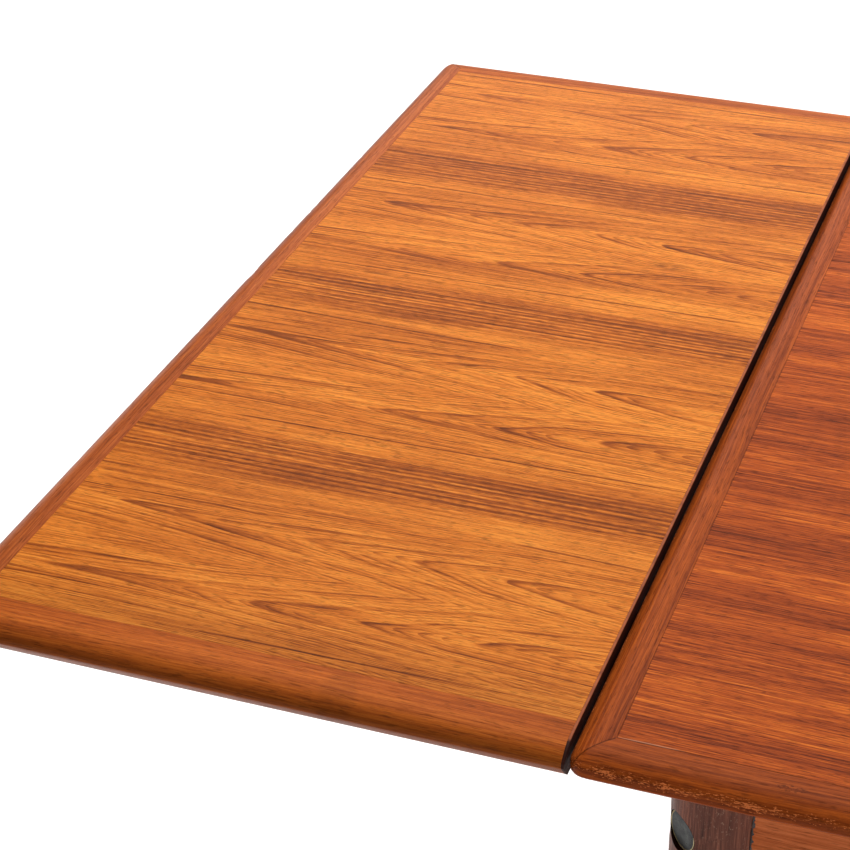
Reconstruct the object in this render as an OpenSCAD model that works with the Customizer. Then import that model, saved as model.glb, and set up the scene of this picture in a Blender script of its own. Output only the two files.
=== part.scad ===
// Drop leaf dining table in teak, with one leaf on each end.
// Frame: X along the length, Y along the depth with the front at -Y, Z up, origin on the
// floor under the middle of the table. Both leaves are drawn raised.

/* [Table] */
// Length of the fixed top
top_length = 1300; // [1000:10:1800]
// Depth of the top and of both leaves
depth = 850; // [760:10:1000]
// Height of the top surface above the floor
height = 725; // [680:5:760]
// Width of one leaf, from the seam to its free end
leaf_width = 355; // [300:5:420]
// Gap between the fixed top and a raised leaf
seam_gap = 1; // [0.6:0.1:2]

/* [Boards] */
// Thickness of the boards
board_t = 20; // [18:1:24]
// Thickness of the face and backing veneers
veneer_t = 0.8; // [0.6:0.1:1.2]
// Width of the solid lippings round the top and at the free end of a leaf
lip_w = 20; // [18:1:24]
// Width of the lippings along the front and back of a leaf
leaf_lip_w = 26; // [20:1:32]
// Thickness of the strip on the hinged edge of a leaf
strip_t = 1.5; // [1:0.5:3]

/* [Edge moulding] */
// Width of the rolled part of the upper edge
roll_w = 16; // [12:1:18]
// Drop of the rolled part
roll_drop = 7.5; // [5:0.5:9]
// Height of the fixed top's visible edge, from the top surface to the chamfer under it
edge_h = 13; // [11:0.5:16]
// Height of a leaf's visible edge
leaf_edge_h = 10.5; // [10:0.5:16]
// Width of the chamfer under the edge
chamfer_w = 8; // [5:1:12]
// Radius of the outer corners, seen from above
corner_r = 9; // [5:1:12]

/* [Legs and aprons] */
// Distance of a leg's centre from both edges of the fixed top
leg_inset = 67; // [60:1:80]
// Diameter of a leg at the top
leg_top_d = 55; // [50:1:60]
// Diameter of a leg at the floor
leg_foot_d = 36; // [30:1:42]
// Distance of the aprons' outer faces from the edge of the fixed top
apron_inset = 48; // [46:1:52]
// Thickness of the aprons
apron_t = 22; // [18:1:25]
// Height of the aprons
apron_h = 100; // [80:5:110]

/* [Leg bolts] */
// Diameter of the flat bolt head
bolt_head_d = 21; // [18:1:24]
// Distance of the bolt below the top surface
bolt_drop = 75; // [60:1:80]
// Diameter of the bolt's shank
bolt_d = 8; // [6:1:10]

/* [Hinges] */
// Length of one hinge
hinge_len = 60; // [50:2:80]
// Distance between neighbouring hinges
hinge_pitch = 300; // [260:10:320]
// Outer diameter of the knuckles
knuckle_d = 6.4; // [6:0.2:7]
// Diameter of the hinge pin
pin_d = 3; // [2.5:0.1:3.2]

/* [Leaf stays] */
// Distance of the stays from the middle of the table
stay_y = 200; // [180:5:220]
// Length of a stay arm between its pivots, along the raised leaf
stay_reach = 200; // [160:5:240]
// Distance of the arm's fixed pivot from the hinge line, towards the apron
stay_offset = 32; // [28:1:33]
// Depth of the arm's fixed pivot below the hinge line
stay_drop = 12; // [10:1:16]

/* [Hidden] */
$fn = 48;
eps = 1; // overshoot of every cut

half_l = top_length / 2;
half_d = depth / 2;
under_z = height - board_t;            // underside of the boards
core_z = under_z + veneer_t;           // underside of the cores
core_t = board_t - 2 * veneer_t;
roll_r = (roll_w * roll_w + roll_drop * roll_drop) / (2 * roll_drop);

leaf_in = seam_gap / 2;                // hinged edge of a leaf, from the hinge line
leaf_out = leaf_in + leaf_width;       // free end of a leaf, from the hinge line
hinge_drop = knuckle_d / 2 + 0.6;      // hinge line below the boards
hinge_x = half_l + seam_gap / 2;
hinge_z = under_z - hinge_drop;
plate_t = 2;                           // hinge and bracket plates
plate_w = 40;
plate_in = 1;                          // inner end of a plate's tabs, inside the knuckles
plate_relief = knuckle_d / 2 + 0.7;    // plate edge beside the other plate's knuckles
knuckles = 5;
knuckle_gap = 0.4;
knuckle_l = (hinge_len - (knuckles - 1) * knuckle_gap) / knuckles;
pin_play = 0.1;                        // radial play of a turning pin
hinge_screw_x = 32;
hinge_screw_ys = [-22, 0, 22];
hinge_ys = [-hinge_pitch, 0, hinge_pitch];

screw_d = 3.5;
screw_head_d = 7;
screw_head_h = 1.8;
screw_in = 11;                         // length of a screw in the wood
slot_w = 1;                            // slot in a screw's head
slot_d = 0.8;

leg_foot_z = 3;                        // the glide is under the leg
glide_d = 24;
glide_pin_d = 3;
glide_pin_l = 12;                      // length of a glide's pin in the leg
leg_h = under_z - leg_foot_z;
leg_x = half_l - leg_inset;
leg_y = half_d - leg_inset;
apron_x = half_l - apron_inset;        // outer face of an end apron
apron_y = half_d - apron_inset;        // outer face of a long apron
apron_z = under_z - apron_h;

bolt_z = height - bolt_drop;
bolt_face = 24;                        // bolt head's face, from the leg's axis
bolt_head_t = 3;
rim_t = 1.1;                           // width of the rim round a bolt head
block_in = 55;                         // corner block, along the inner face of an apron
block_end = 10;                        // its end face
block_h = 60;
block_corner = apron_inset + apron_t;  // corner between the aprons' inner faces
block_face = (2 * block_corner + block_in + block_end) / sqrt(2) - leg_inset * sqrt(2);
washer_d = 20;
washer_t = 1.6;
nut_t = 6.5;
nut_af = 13;
bolt_end = 3;                          // bolt's end, beyond the nut

rail_w = 22;
rail_h = 60;
tenon_l = 8;
tenon_w = 10;
tenon_h = 40;

groove_w = 6;                          // groove in the aprons for the buttons' tongues
groove_d = 8;
groove_drop = 9;                       // top of the groove below the boards
button_l = 30;
button_w = 26;
button_gap = 0.5;                      // between a button and the apron
tongue_play = 0.5;                     // at the bottom of the groove
button_screw_in = 10;                  // length of a button's screw in the top
long_button_xs = [-420, -160, 160, 420];
end_button_ys = [-110, 110];

stay_t = 3;                            // thickness of arms, links and lugs
stay_play = 0.5;                       // gap between neighbouring bars
arm_w = 12;
link_w = 11;
lug_r = 6;
rivet_d = 5;
rivet_head_d = 9;
rivet_head_t = 1.8;
leaf_pivot_z = -6.4;                   // leaf pivot, below the hinge line
// Layers of one stay, counted from its outer side towards the middle of the table
lug_layer = 0;
link_layer = stay_t + stay_play;
arm_layer = 2 * (stay_t + stay_play);
pivot_a = [-stay_offset, -stay_drop];
pivot_c = [stay_reach, leaf_pivot_z];
pivot_b = pivot_a + pivot_c;
bracket_w = 25;
bracket_l = 40;
bracket_drop = 8;                      // middle of the apron's bracket, below its pivot
bracket_screw_y = -13;
bracket_screw_pitch = 24;
apron_face = apron_x - hinge_x;        // outer face of an end apron, from the hinge line

teak = "#9a4f26";
teak_leaf = "#c8723a";
teak_lip = "#8a4526";
core_wood = "#c9a878";
leg_wood = "#5f3c37";
beech = "#c8a070";
steel = "#6f716f";
dark_steel = "#474b46";
brass = "#b8944e";
nylon = "#d8d2c4";

// ---------- placing ----------

// The right-hand side as drawn, or its mirror image on the left
module on_side(s) {
    if (s > 0) children();
    else mirror([1, 0, 0]) children();
}

// From the table's frame to a leaf's frame: the hinge line is the origin, X points outwards
module at_hinge(s) {
    on_side(s) translate([hinge_x, 0, hinge_z]) children();
}

// One copy at each of the four corners, drawn for the back right corner
module at_corners() {
    for (mx = [0, 1], my = [0, 1]) mirror([mx, 0, 0]) mirror([0, my, 0]) children();
}

// One stay at the front and one at the back of a leaf. Local Y runs through the layers.
module at_stays() {
    for (m = [0, 1]) mirror([0, m, 0]) translate([0, -stay_y, 0]) children();
}

// A flat bar in the plane of the stay's motion, t thick, starting at layer y
module in_stay_plane(y, t) {
    translate([0, y + t, 0]) rotate([90, 0, 0]) linear_extrude(t) children();
}

// ---------- boards ----------

// Section of a moulded edge: x runs inwards from the edge, y up from the top surface. The edge
// is chamfered under visible_h, or left square where visible_h is the board's thickness.
module edge_section(w, visible_h) {
    difference() {
        translate([0, -board_t]) square([w, board_t]);
        difference() {
            translate([-eps, -roll_drop]) square([roll_w + eps, roll_drop + eps]);
            translate([roll_w, -roll_r]) circle(roll_r, $fn = 180);
        }
        if (visible_h < board_t) {
            polygon([[-eps, -visible_h], [0, -visible_h], [chamfer_w, -board_t],
                [chamfer_w, -board_t - eps], [-eps, -board_t - eps]]);
        }
    }
}

// Moulded edge along X: the outer edge is at y = 0 and the wood lies towards +Y
module edge_along_x(x0, x1, w, visible_h) {
    translate([x0, 0, height]) rotate([90, 0, 90])
        linear_extrude(x1 - x0) edge_section(w, visible_h);
}

// Moulded edge along Y: the outer edge is at x = 0 and the wood lies towards +X
module edge_along_y(y0, y1, w, visible_h) {
    translate([0, y1, height]) rotate([90, 0, 0])
        linear_extrude(y1 - y0) edge_section(w, visible_h);
}

// Prism over a plan outline, taller than a board
module plan_prism() {
    translate([0, 0, under_z - eps]) linear_extrude(board_t + 2 * eps) children();
}

// Plan of the fixed top, with round corners
module top_plan() {
    square([top_length - 2 * corner_r, depth], center = true);
    square([top_length, depth - 2 * corner_r], center = true);
    for (x = [-1, 1], y = [-1, 1]) {
        translate([x * (half_l - corner_r), y * (half_d - corner_r)]) circle(corner_r);
    }
}

// Plan of a right-hand leaf, with round corners at its free end
module leaf_plan() {
    translate([hinge_x + leaf_in, -half_d]) square([leaf_width - corner_r, depth]);
    translate([hinge_x + leaf_in, corner_r - half_d]) square([leaf_width, depth - 2 * corner_r]);
    for (y = [-1, 1]) {
        translate([hinge_x + leaf_out - corner_r, y * (half_d - corner_r)]) circle(corner_r);
    }
}

// Front lipping of the fixed top, mitred at both ends
module top_lipping_long() {
    color(teak_lip) intersection() {
        translate([0, -half_d, 0]) edge_along_x(-half_l, half_l, lip_w, edge_h);
        plan_prism() top_plan();
        plan_prism() polygon([[-half_l, -half_d], [half_l, -half_d],
            [half_l - lip_w, lip_w - half_d], [lip_w - half_l, lip_w - half_d]]);
    }
}

// Left lipping of the fixed top, mitred at both ends. It is square underneath, for the hinges.
module top_lipping_short() {
    color(teak_lip) intersection() {
        translate([-half_l, 0, 0]) edge_along_y(-half_d, half_d, lip_w, board_t);
        plan_prism() top_plan();
        plan_prism() polygon([[-half_l, -half_d], [lip_w - half_l, lip_w - half_d],
            [lip_w - half_l, half_d - lip_w], [-half_l, half_d]]);
    }
}

module top_core() {
    color(core_wood) difference() {
        translate([lip_w - half_l, lip_w - half_d, core_z])
            cube([top_length - 2 * lip_w, depth - 2 * lip_w, core_t]);
        top_screw_shanks();
    }
}

module top_face_veneer() {
    color(teak) translate([lip_w - half_l, lip_w - half_d, height - veneer_t])
        cube([top_length - 2 * lip_w, depth - 2 * lip_w, veneer_t]);
}

module top_backing_veneer() {
    color(teak) difference() {
        translate([lip_w - half_l, lip_w - half_d, under_z])
            cube([top_length - 2 * lip_w, depth - 2 * lip_w, veneer_t]);
        top_screw_shanks();
    }
}

// The part of a leaf between its lippings, from height z0, t thick
module leaf_field(s, z0, t) {
    on_side(s) translate([hinge_x + leaf_in + strip_t, leaf_lip_w - half_d, z0])
        cube([leaf_width - strip_t - lip_w, depth - 2 * leaf_lip_w, t]);
}

module leaf_core(s) {
    color(core_wood) difference() {
        leaf_field(s, core_z, core_t);
        leaf_screws(s, false);
    }
}

module leaf_face_veneer(s) {
    color(teak_leaf) leaf_field(s, height - veneer_t, veneer_t);
}

module leaf_backing_veneer(s) {
    color(teak_leaf) difference() {
        leaf_field(s, under_z, veneer_t);
        leaf_screws(s, false);
    }
}

// Front lipping of a leaf, mitred at the free end and square at the seam
module leaf_lipping_long(s) {
    x0 = hinge_x + leaf_in + strip_t;
    x1 = hinge_x + leaf_out;
    color(teak_lip) on_side(s) intersection() {
        translate([0, -half_d, 0]) edge_along_x(x0, x1, leaf_lip_w, leaf_edge_h);
        plan_prism() leaf_plan();
        plan_prism() polygon([[x0, -half_d], [x1, -half_d], [x1 - lip_w, lip_w - half_d],
            [x1 - lip_w, leaf_lip_w - half_d], [x0, leaf_lip_w - half_d]]);
    }
}

// Lipping across the free end of a leaf, mitred at both ends
module leaf_lipping_end(s) {
    x1 = hinge_x + leaf_out;
    color(teak_lip) on_side(s) intersection() {
        translate([x1, 0, 0]) mirror([1, 0, 0]) edge_along_y(-half_d, half_d, lip_w, leaf_edge_h);
        plan_prism() leaf_plan();
        plan_prism() polygon([[x1, -half_d], [x1, half_d],
            [x1 - lip_w, half_d - lip_w], [x1 - lip_w, lip_w - half_d]]);
    }
}

// Strip on the hinged edge of a leaf, cut to the same moulding at its two ends
module leaf_edge_strip(s) {
    x0 = hinge_x + leaf_in;
    color(teak_lip) on_side(s) {
        for (m = [0, 1]) mirror([0, m, 0]) {
            translate([0, -half_d, 0]) edge_along_x(x0, x0 + strip_t, leaf_lip_w, leaf_edge_h);
        }
        translate([x0, leaf_lip_w - half_d, under_z])
            cube([strip_t, depth - 2 * leaf_lip_w, board_t]);
    }
}

// ---------- screws and rivets ----------

// Countersunk screw pointing up, with its head's flat face at z = 0. Cuts have no slot.
module screw(slotted = true) {
    difference() {
        union() {
            cylinder(d1 = screw_head_d, d2 = screw_d, h = screw_head_h);
            translate([0, 0, screw_head_h])
                cylinder(d = screw_d, h = screw_in + plate_t - screw_head_h);
        }
        if (slotted) translate([-screw_head_d, -slot_w / 2, -eps])
            cube([2 * screw_head_d, slot_w, slot_d + eps]);
    }
}

// Rivet along local Y from layer y0 to y1, with a flat head at both ends
module rivet(p, y0, y1) {
    translate([p[0], 0, p[1]]) {
        in_stay_plane(y0, y1 - y0) circle(d = rivet_d);
        in_stay_plane(y0 - rivet_head_t, rivet_head_t) circle(d = rivet_head_d);
        in_stay_plane(y1, rivet_head_t) circle(d = rivet_head_d);
    }
}

// ---------- legs and aprons ----------

module leg_shape() {
    translate([leg_x, leg_y, leg_foot_z])
        cylinder(d1 = leg_foot_d, d2 = leg_top_d, h = leg_h, $fn = 96);
}

// Frame of a leg's bolt: Z runs along the diagonal, inwards, from the leg's axis
module at_bolt() {
    translate([leg_x, leg_y, bolt_z]) rotate([0, 90, 225]) children();
}

// Leg at the back right corner, drilled for its bolt, the bolt's recess and the glide's pin
module leg_right_back() {
    color(leg_wood) difference() {
        leg_shape();
        at_bolt() translate([0, 0, -leg_top_d]) cylinder(d = bolt_d, h = 2 * leg_top_d);
        at_bolt() translate([0, 0, -leg_top_d]) {
            cylinder(d = bolt_head_d + 2 * rim_t, h = leg_top_d - bolt_face + bolt_head_t);
        }
        translate([leg_x, leg_y, 0]) glide_pin();
    }
}

// One leg, placed by its side and its end of the table
module leg(sx, sy) {
    mirror([sx > 0 ? 0 : 1, 0, 0]) mirror([0, sy > 0 ? 0 : 1, 0]) leg_right_back();
}

module glide_pin() {
    cylinder(d = glide_pin_d, h = leg_foot_z + glide_pin_l);
}

module foot_glides() {
    color(nylon) at_corners() translate([leg_x, leg_y, 0]) {
        cylinder(d = glide_d, h = leg_foot_z);
        glide_pin();
    }
}

module leg_bolts() {
    color(dark_steel) at_corners() at_bolt() {
        translate([0, 0, -bolt_face]) {
            cylinder(d = bolt_head_d, h = bolt_head_t);
            cylinder(d = bolt_d, h = bolt_face + block_face + washer_t + nut_t + bolt_end);
        }
    }
}

module leg_bolt_rims() {
    color(brass) at_corners() at_bolt() translate([0, 0, -bolt_face]) difference() {
        cylinder(d = bolt_head_d + 2 * rim_t, h = bolt_head_t);
        translate([0, 0, -eps]) cylinder(d = bolt_head_d, h = bolt_head_t + 2 * eps);
    }
}

module leg_bolt_washers() {
    color(steel) at_corners() at_bolt() translate([0, 0, block_face]) difference() {
        cylinder(d = washer_d, h = washer_t);
        translate([0, 0, -eps]) cylinder(d = bolt_d, h = washer_t + 2 * eps);
    }
}

module leg_bolt_nuts() {
    color(steel) at_corners() at_bolt() translate([0, 0, block_face + washer_t]) difference() {
        cylinder(d = nut_af / cos(30), h = nut_t, $fn = 6);
        translate([0, 0, -eps]) cylinder(d = bolt_d, h = nut_t + 2 * eps);
    }
}

// Blocks across the inner corners of the frame, hollowed to the legs
module corner_blocks() {
    c = block_corner;
    color(beech) at_corners() difference() {
        translate([half_l, half_d, bolt_z - block_h / 2]) mirror([1, 0, 0]) mirror([0, 1, 0]) {
            linear_extrude(block_h) polygon([[c, c], [c + block_in, c],
                [c + block_in, c + block_end], [c + block_end, c + block_in], [c, c + block_in]]);
        }
        leg_shape();
        at_bolt() cylinder(d = bolt_d, h = 2 * block_face);
    }
}

// Groove for the buttons, in the inner face of an apron that lies along X
module button_groove(x0, x1) {
    translate([x0, apron_y - apron_t - eps, under_z - groove_drop - groove_w])
        cube([x1 - x0, groove_d + eps, groove_w]);
}

// Back apron: its ends are hollowed to the legs, and the cross rail is let into it
module apron_long() {
    color(teak) difference() {
        translate([-leg_x, apron_y - apron_t, apron_z]) cube([2 * leg_x, apron_t, apron_h]);
        for (m = [0, 1]) mirror([m, 0, 0]) leg_shape();
        button_groove(-leg_x, leg_x);
        rail_tenon();
    }
}

// Right apron: its ends are hollowed to the legs. The stays' brackets screw to its outer face.
module apron_short() {
    color(teak) difference() {
        translate([apron_x - apron_t, -leg_y, apron_z]) cube([apron_t, 2 * leg_y, apron_h]);
        for (m = [0, 1]) mirror([0, m, 0]) leg_shape();
        translate([apron_x - apron_t - eps, -leg_y, under_z - groove_drop - groove_w])
            cube([groove_d + eps, 2 * leg_y, groove_w]);
        apron_screws(false);
    }
}

module rail_tenon() {
    translate([-tenon_w / 2, apron_y - apron_t - eps, under_z - rail_h / 2 - tenon_h / 2])
        cube([tenon_w, tenon_l + eps, tenon_h]);
}

// Rail across the middle of the frame, with a tenon at both ends
module cross_rail() {
    inner = apron_y - apron_t;
    color(beech) union() {
        translate([-rail_w / 2, -inner, under_z - rail_h]) cube([rail_w, 2 * inner, rail_h]);
        for (m = [0, 1]) mirror([0, m, 0]) rail_tenon();
    }
}

// ---------- fixing of the top ----------

// Wooden button at the back apron's inner face, with its tongue in the groove
module button() {
    tongue_z = under_z - groove_drop - groove_w;
    face = apron_y - apron_t;
    difference() {
        union() {
            translate([-button_l / 2, face - button_w, tongue_z])
                cube([button_l, button_w - button_gap, groove_drop + groove_w]);
            translate([-button_l / 2, face - 2 * eps, tongue_z])
                cube([button_l, groove_d + 2 * eps - tongue_play, groove_w]);
        }
        button_screw(false);
    }
}

module button_screw(slotted = true) {
    translate([0, apron_y - apron_t - button_w / 2, under_z - groove_drop - groove_w]) {
        screw(slotted);
        cylinder(d = screw_d, h = groove_drop + groove_w + button_screw_in);
    }
}

// From the back apron's button to every place that has one
module at_buttons() {
    for (m = [0, 1], x = long_button_xs) mirror([0, m, 0]) translate([x, 0, 0]) children();
    for (m = [0, 1], y = end_button_ys) mirror([m, 0, 0]) {
        translate([apron_x - apron_y, y, 0]) rotate([0, 0, -90]) children();
    }
}

module top_buttons() {
    color(beech) at_buttons() button();
}

module top_button_screws() {
    color(steel) at_buttons() button_screw();
}

// ---------- hinges ----------

// Bands of the hinge's length that belong to the fixed top (even) or to the leaf (odd)
module hinge_bands(first) {
    for (i = [first : 2 : knuckles - 1]) {
        translate([0, i * (knuckle_l + knuckle_gap) - hinge_len / 2, 0]) children();
    }
}

// Plate of a hinge on the outer side of the hinge line, with the knuckles of one parity
module hinge_plate(first, bore_d) {
    difference() {
        union() {
            translate([plate_relief, -hinge_len / 2, hinge_drop - plate_t])
                cube([plate_w - plate_relief, hinge_len, plate_t]);
            hinge_bands(first) {
                translate([plate_in, 0, hinge_drop - plate_t])
                    cube([plate_relief, knuckle_l, plate_t]);
                translate([0, knuckle_l, 0]) rotate([90, 0, 0])
                    cylinder(d = knuckle_d, h = knuckle_l);
            }
        }
        translate([0, hinge_len, 0]) rotate([90, 0, 0]) cylinder(d = bore_d, h = 2 * hinge_len);
        hinge_screws(false);
    }
}

module hinge_screws(slotted = true) {
    for (y = hinge_screw_ys) translate([hinge_screw_x, y, hinge_drop - plate_t]) screw(slotted);
}

module at_hinges(s) {
    at_hinge(s) for (y = hinge_ys) translate([0, y, 0]) children();
}

module top_hinge_plates() {
    color(brass) for (s = [-1, 1]) at_hinges(s) mirror([1, 0, 0]) hinge_plate(0, pin_d);
}

module top_hinge_screws(slotted = true) {
    color(brass) for (s = [-1, 1]) at_hinges(s) mirror([1, 0, 0]) hinge_screws(slotted);
}

module hinge_pins() {
    color(steel) for (s = [-1, 1]) at_hinges(s) {
        translate([0, hinge_len / 2, 0]) rotate([90, 0, 0]) cylinder(d = pin_d, h = hinge_len);
    }
}

module leaf_hinge_plates(s) {
    color(brass) at_hinges(s) hinge_plate(1, pin_d + 2 * pin_play);
}

// Every screw that enters the underside of the fixed top
module top_screw_shanks() {
    top_hinge_screws(false);
    at_buttons() button_screw(false);
}

// ---------- leaf stays ----------

// Flat bar with round ends in one layer of a stay, from pivot p to pivot q, drilled at both
module bar(layer, p, q, w, hole_p, hole_q) {
    v = q - p;
    l = norm(v);
    translate([p[0], layer + stay_t, p[1]]) rotate([90, -atan2(v[1], v[0]), 0]) difference() {
        union() {
            translate([0, -w / 2, 0]) cube([l, w, stay_t]);
            for (x = [0, l]) translate([x, 0, 0]) cylinder(d = w, h = stay_t);
        }
        translate([0, 0, -eps]) cylinder(d = hole_p, h = stay_t + 2 * eps);
        translate([l, 0, -eps]) cylinder(d = hole_q, h = stay_t + 2 * eps);
    }
}

module stay_arms(s) {
    color(steel) at_hinge(s) at_stays() {
        bar(arm_layer, pivot_a, pivot_b, arm_w, rivet_d + 2 * pin_play, rivet_d);
    }
}

module stay_links(s) {
    color(steel) at_hinge(s) at_stays() {
        bar(link_layer, pivot_c, pivot_b, link_w, rivet_d + 2 * pin_play, rivet_d + 2 * pin_play);
    }
}

// Rivets between the arms and the links, fast in the arms
module stay_rivets(s) {
    color(steel) at_hinge(s) at_stays() {
        rivet(pivot_b, link_layer - pin_play, arm_layer + stay_t);
    }
}

// Rivets between the leaf's lugs and the links, fast in the lugs
module leaf_rivets(s) {
    color(steel) at_hinge(s) at_stays() {
        rivet(pivot_c, lug_layer, link_layer + stay_t + pin_play);
    }
}

// Rivets between the apron's lugs and the arms, fast in the lugs
module apron_stay_rivets() {
    color(steel) for (s = [-1, 1]) at_hinge(s) at_stays() {
        rivet(pivot_a, link_layer, arm_layer + stay_t + pin_play);
    }
}

// Lug and plate of one stay under a leaf
module leaf_stay_brackets(s) {
    color(steel) at_hinge(s) at_stays() difference() {
        union() {
            in_stay_plane(lug_layer, stay_t) difference() {
                union() {
                    translate(pivot_c) circle(r = lug_r);
                    translate([pivot_c[0] - lug_r, pivot_c[1]])
                        square([2 * lug_r, hinge_drop - pivot_c[1]]);
                }
                translate(pivot_c) circle(d = rivet_d);
            }
            translate([pivot_c[0] - bracket_l / 2, stay_t - bracket_w, hinge_drop - plate_t])
                cube([bracket_l, bracket_w, plate_t]);
        }
        leaf_bracket_screws(false);
    }
}

module leaf_bracket_screws(slotted = true) {
    for (x = [-1, 1]) {
        translate([pivot_c[0] + x * bracket_screw_pitch / 2, bracket_screw_y, hinge_drop - plate_t])
            screw(slotted);
    }
}

// Every screw in the underside of one leaf
module leaf_screws(s, slotted = true) {
    color(brass) {
        at_hinges(s) hinge_screws(slotted);
        at_hinge(s) at_stays() leaf_bracket_screws(slotted);
    }
}

// Lug and plate of one stay on an end apron
module apron_stay_brackets() {
    color(steel) for (s = [-1, 1]) at_hinge(s) at_stays() difference() {
        union() {
            in_stay_plane(link_layer, stay_t) difference() {
                union() {
                    translate(pivot_a) circle(r = lug_r);
                    translate([apron_face, pivot_a[1] - lug_r])
                        square([pivot_a[0] - apron_face, 2 * lug_r]);
                }
                translate(pivot_a) circle(d = rivet_d);
            }
            translate([apron_face, link_layer + stay_t - bracket_w,
                pivot_a[1] - bracket_drop - bracket_l / 2]) cube([plate_t, bracket_w, bracket_l]);
        }
        apron_bracket_screws(false);
    }
}

module apron_bracket_screws(slotted = true) {
    for (m = [-1, 1]) {
        z = pivot_a[1] - bracket_drop + m * bracket_screw_pitch / 2;
        translate([apron_face + plate_t, bracket_screw_y + stay_t, z]) rotate([0, -90, 0])
            screw(slotted);
    }
}

// Screws of the stays' brackets in both end aprons, or in the right one only as a cut
module apron_screws(slotted = true) {
    at_hinge(1) at_stays() apron_bracket_screws(slotted);
}

module apron_stay_screws() {
    color(steel) for (m = [0, 1]) mirror([m, 0, 0]) apron_screws();
}

top_core();
top_face_veneer();
top_backing_veneer();
top_lipping_long();  // top_lipping_front
mirror([0, 1, 0]) top_lipping_long();  // top_lipping_back
top_lipping_short();  // top_lipping_left
mirror([1, 0, 0]) top_lipping_short();  // top_lipping_right
mirror([0, 1, 0]) apron_long();  // apron_front
apron_long();  // apron_back
mirror([1, 0, 0]) apron_short();  // apron_left
apron_short();  // apron_right
cross_rail();
leg(-1, -1);  // leg_front_left
leg(1, -1);  // leg_front_right
leg(-1, 1);  // leg_back_left
leg(1, 1);  // leg_back_right
foot_glides();
corner_blocks();
leg_bolts();
leg_bolt_rims();
leg_bolt_washers();
leg_bolt_nuts();
top_buttons();
top_button_screws();
top_hinge_plates();
hinge_pins();
top_hinge_screws();
apron_stay_brackets();
apron_stay_screws();
apron_stay_rivets();
leaf_core(-1);  // left_leaf_core
leaf_face_veneer(-1);  // left_leaf_face_veneer
leaf_backing_veneer(-1);  // left_leaf_backing_veneer
leaf_lipping_long(-1);  // left_leaf_lipping_front
mirror([0, 1, 0]) leaf_lipping_long(-1);  // left_leaf_lipping_back
leaf_lipping_end(-1);  // left_leaf_lipping_end
leaf_edge_strip(-1);  // left_leaf_edge_strip
leaf_hinge_plates(-1);  // left_leaf_hinge_plates
leaf_stay_brackets(-1);  // left_leaf_stay_brackets
leaf_screws(-1);  // left_leaf_screws
leaf_rivets(-1);  // left_leaf_rivets
stay_arms(-1);  // left_stay_arms
stay_rivets(-1);  // left_stay_rivets
stay_links(-1);  // left_stay_links
leaf_core(1);  // right_leaf_core
leaf_face_veneer(1);  // right_leaf_face_veneer
leaf_backing_veneer(1);  // right_leaf_backing_veneer
leaf_lipping_long(1);  // right_leaf_lipping_front
mirror([0, 1, 0]) leaf_lipping_long(1);  // right_leaf_lipping_back
leaf_lipping_end(1);  // right_leaf_lipping_end
leaf_edge_strip(1);  // right_leaf_edge_strip
leaf_hinge_plates(1);  // right_leaf_hinge_plates
leaf_stay_brackets(1);  // right_leaf_stay_brackets
leaf_screws(1);  // right_leaf_screws
leaf_rivets(1);  // right_leaf_rivets
stay_arms(1);  // right_stay_arms
stay_rivets(1);  // right_stay_rivets
stay_links(1);  // right_stay_links
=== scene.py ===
"""Looks of the drop leaf table: teak with worn moulded edges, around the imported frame.

Lengths are millimetres in the values below and in the materials, and metres in the meshes.
X runs along the table, Y along its depth with the front at -Y, and Z is up.
"""

import math
from random import Random

import bmesh
import bpy
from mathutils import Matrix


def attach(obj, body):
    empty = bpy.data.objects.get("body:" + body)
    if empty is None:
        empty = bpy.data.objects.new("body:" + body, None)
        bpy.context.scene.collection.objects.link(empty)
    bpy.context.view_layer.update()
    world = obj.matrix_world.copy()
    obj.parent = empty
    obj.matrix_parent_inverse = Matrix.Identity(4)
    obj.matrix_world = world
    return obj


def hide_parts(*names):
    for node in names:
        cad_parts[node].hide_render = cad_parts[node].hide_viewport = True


MM = 0.001

# Boards, as in the CAD
TOP_Z = 725
HALF_TOP = 650
HALF_DEPTH = 425
BOARD = 20
LEAF_IN = 651
LEAF_OUT = 1006
STRIP = 1.5
LIP = 20
LEAF_LIP = 26
ROLL_W = 16
ROLL_DROP = 7.5
ROLL_R = (ROLL_W**2 + ROLL_DROP**2) / (2 * ROLL_DROP)
TOP_EDGE = 13
LEAF_EDGE = 10.5
CHAMFER = 8
CORNER_R = 9
MITRE_ANGLE = 45
MITRE_GROOVE = 0.12
WORN_REACH = 2.6  # how far from the arris the wear reaches

# Legs and aprons, as in the CAD
LEG_X = 583
LEG_Y = 358
LEG_TOP_R = 27.5
LEG_FOOT_R = 18
LEG_FOOT_Z = 3
BOLT_Z = 650
BOLT_BORE_R = 11.6
APRON_X = 602
APRON_Y = 377
APRON_Z = 605
UNDER_Z = TOP_Z - BOARD

# Face veneer of a leaf: slip-matched crown-cut sheets, and the figure in each
SHEET = 216
SHEET_START = -8
FIGURE_AXIS = 37  # from a sheet's middle to the tips of its pointed figures
LAST_TIP = 272  # from the free end, beyond it the figures run almost straight
SATIN = 0.04  # specular level of the oiled wood

# Studio
FLOOR_HALF = 150
FLOOR_GLOW = 0.34
WORLD_GLOW = 0.16
SUN_POWER = 1.62
SUN_SPREAD = 40


# ---------- colour and node helpers ----------


def rgb(red, green, blue):
    """Linear colour of an 8-bit display colour."""
    linear = []
    for channel in (red, green, blue):
        c = channel / 255
        linear.append(c / 12.92 if c <= 0.04045 else ((c + 0.055) / 1.055) ** 2.4)
    return (*linear, 1.0)


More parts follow.
